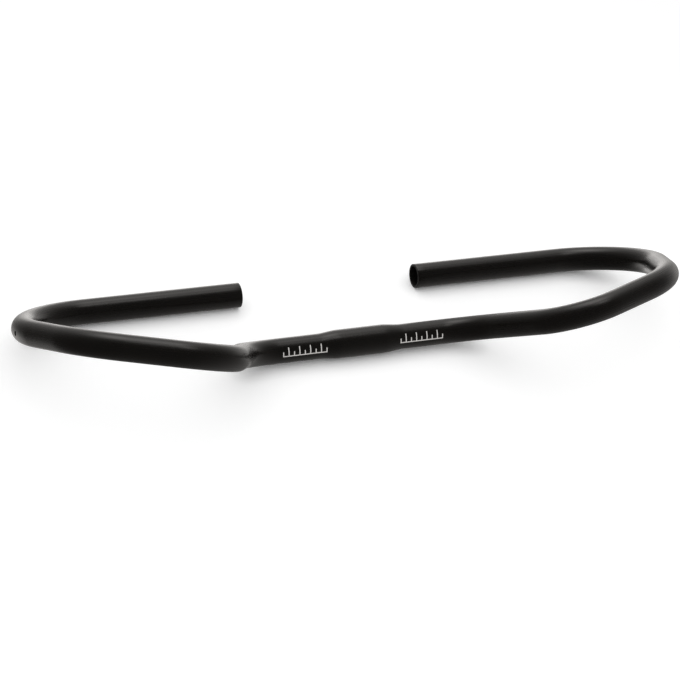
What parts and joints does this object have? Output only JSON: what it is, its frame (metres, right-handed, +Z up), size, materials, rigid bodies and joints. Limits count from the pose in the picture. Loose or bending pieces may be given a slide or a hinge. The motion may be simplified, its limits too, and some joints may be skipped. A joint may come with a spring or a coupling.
{
  "type": "trekking handlebar",
  "caption": "Black trekking handlebar: a tube bent into a wide raised loop on each side, with a thicker middle for the stem clamp and open ends that face each other at the back.",
  "frame": {"origin": "centre of the clamp zone, on the tube's centre line", "axes": "+X along the clamp zone to the rider's right, +Y towards the rider, +Z up from the surface that the bar lies on"},
  "size_m": [0.6102, 0.186, 0.1014],
  "materials": {
    "black_tube": "satin black coat on bent aluminium tube"
  },
  "bodies": {
    "root": {"handlebar": "black_tube"}
  },
  "joints": []
}
